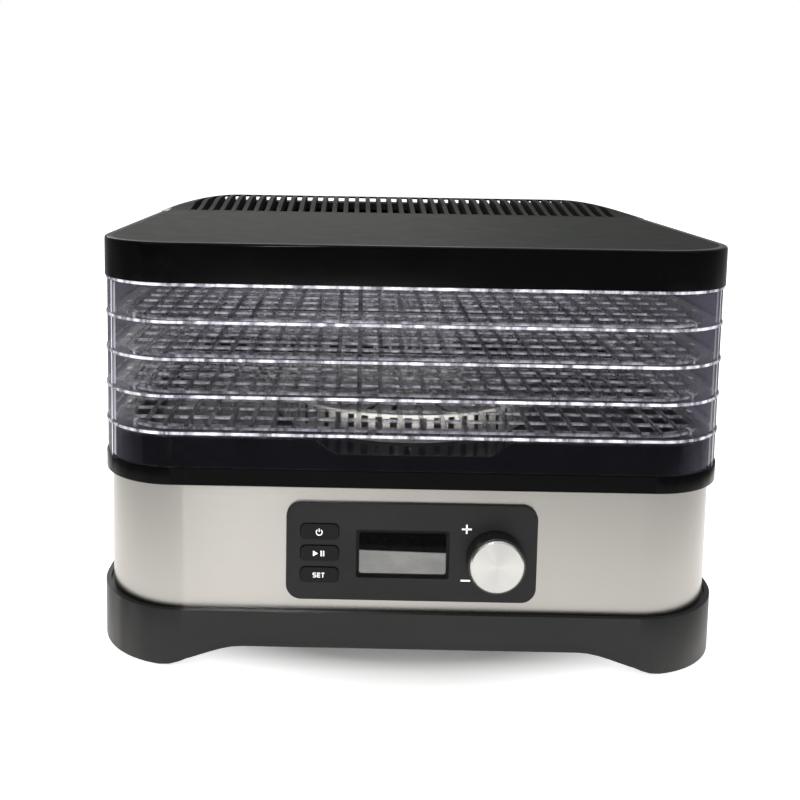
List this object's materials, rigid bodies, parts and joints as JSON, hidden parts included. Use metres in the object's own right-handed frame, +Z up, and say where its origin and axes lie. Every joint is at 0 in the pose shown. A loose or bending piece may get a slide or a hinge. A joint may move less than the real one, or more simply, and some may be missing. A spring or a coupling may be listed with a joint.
{
  "type": "food dehydrator",
  "caption": "Countertop food dehydrator with stacking clear mesh trays, a vented lid, a brushed steel base, fan, heater, push buttons, display and a turning knob.",
  "frame": {"origin": "on the surface it stands on, under the middle of the machine's whole outline", "axes": "+Z up, the control panel faces -Y, +X to the right of a person who faces the panel"},
  "size_m": [0.3836, 0.3426, 0.2619],
  "materials": {
    "gloss_black": "gloss moulded",
    "matte_top": "fine matte texture",
    "tray_clear": "clear, slightly violet tint",
    "deck_black": "satin moulded",
    "steel": "horizontal brushed",
    "skirt_grey": "satin moulded",
    "inner_black": "moulded",
    "rubber": "matte",
    "screw_steel": "plain",
    "guard_grey": "satin moulded",
    "fan_plastic": "moulded",
    "motor_metal": "lacquered laminations",
    "zinc_steel": "zinc plated",
    "heater_wire": "oxidised resistance wire",
    "mica": "mica board",
    "fuse_metal": "plain",
    "panel_charcoal": "satin moulded",
    "window_clear": "clear plastic window",
    "lcd_glass": "unlit liquid crystal display",
    "button_grey": "satin moulded",
    "switch_black": "moulded",
    "board_green": "solder mask",
    "knob_black": "satin moulded",
    "spun_aluminium": "spun, with a bright bevel",
    "ribbon_grey": "flat cable",
    "inlet_black": "moulded",
    "relay_blue": "moulded",
    "capacitor_sleeve": "shrink sleeve",
    "terminal_white": "moulded"
  },
  "bodies": {
    "base": {"top_deck": "deck_black", "steel_housing": "steel", "base_skirt": "skirt_grey", "bottom_plate": "inner_black", "rubber_feet": "rubber", "base_screws": "screw_steel", "fan_duct": "inner_black", "duct_screws": "screw_steel", "fan_guard": "guard_grey", "fan_motor": "motor_metal", "motor_bracket": "zinc_steel", "heating_element": "heater_wire", "heater_frame": "mica", "thermal_fuse": "fuse_metal", "temperature_sensor": "zinc_steel", "control_panel": "panel_charcoal", "lcd_window": "window_clear", "lcd_module": "lcd_glass", "button_switches": "switch_black", "control_board": "board_green", "board_screws": "screw_steel", "encoder_body": "zinc_steel", "ribbon_cable": "ribbon_grey", "cord_inlet": "inlet_black", "power_board": "board_green", "heater_relay": "relay_blue", "filter_capacitor": "capacitor_sleeve", "terminal_block": "terminal_white"},
    "lid": {"lid_frame": "gloss_black", "lid_panel": "matte_top"},
    "tray_1": {"tray_1_frame": "tray_clear", "tray_1_mesh": "tray_clear"},
    "tray_2": {"tray_2_frame": "tray_clear", "tray_2_mesh": "tray_clear"},
    "tray_3": {"tray_3_frame": "tray_clear", "tray_3_mesh": "tray_clear"},
    "tray_4": {"tray_4_frame": "tray_clear", "tray_4_mesh": "tray_clear"},
    "tray_5": {"tray_5_frame": "tray_clear", "tray_5_mesh": "tray_clear"},
    "fan": {"fan_impeller": "fan_plastic", "fan_shaft": "screw_steel"},
    "knob": {"knob_body": "knob_black", "knob_cap": "spun_aluminium", "encoder_shaft": "screw_steel"},
    "power_button": {"button_power": "button_grey"},
    "play_pause_button": {"button_play_pause": "button_grey"},
    "set_button": {"button_set": "button_grey"}
  },
  "joints": [
    {"name": "tray_5_lift", "type": "slide", "parent": "base", "child": "tray_5", "axis": [0, 0, 1], "range_m": [0, 0.06]},
    {"name": "tray_4_lift", "type": "slide", "parent": "tray_5", "child": "tray_4", "axis": [0, 0, 1], "range_m": [0, 0.06]},
    {"name": "tray_3_lift", "type": "slide", "parent": "tray_4", "child": "tray_3", "axis": [0, 0, 1], "range_m": [0, 0.06]},
    {"name": "tray_2_lift", "type": "slide", "parent": "tray_3", "child": "tray_2", "axis": [0, 0, 1], "range_m": [0, 0.06]},
    {"name": "tray_1_lift", "type": "slide", "parent": "tray_2", "child": "tray_1", "axis": [0, 0, 1], "range_m": [0, 0.06]},
    {"name": "lid_lift", "type": "slide", "parent": "tray_1", "child": "lid", "axis": [0, 0, 1], "range_m": [0, 0.06]},
    {"name": "fan_spin", "type": "hinge", "parent": "base", "child": "fan", "pos_m": [0, 0, 0.08], "axis": [0, 0, 1], "continuous": true},
    {"name": "knob_turn", "type": "hinge", "parent": "base", "child": "knob", "pos_m": [0.0487, -0.165, 0.0705], "axis": [0, 1, 0], "continuous": true},
    {"name": "power_press", "type": "slide", "parent": "base", "child": "power_button", "axis": [0, 1, 0], "range_m": [0, 0.001], "stiffness_N_per_m": 800},
    {"name": "play_pause_press", "type": "slide", "parent": "base", "child": "play_pause_button", "axis": [0, 1, 0], "range_m": [0, 0.001], "stiffness_N_per_m": 800},
    {"name": "set_press", "type": "slide", "parent": "base", "child": "set_button", "axis": [0, 1, 0], "range_m": [0, 0.001], "stiffness_N_per_m": 800}
  ]
}
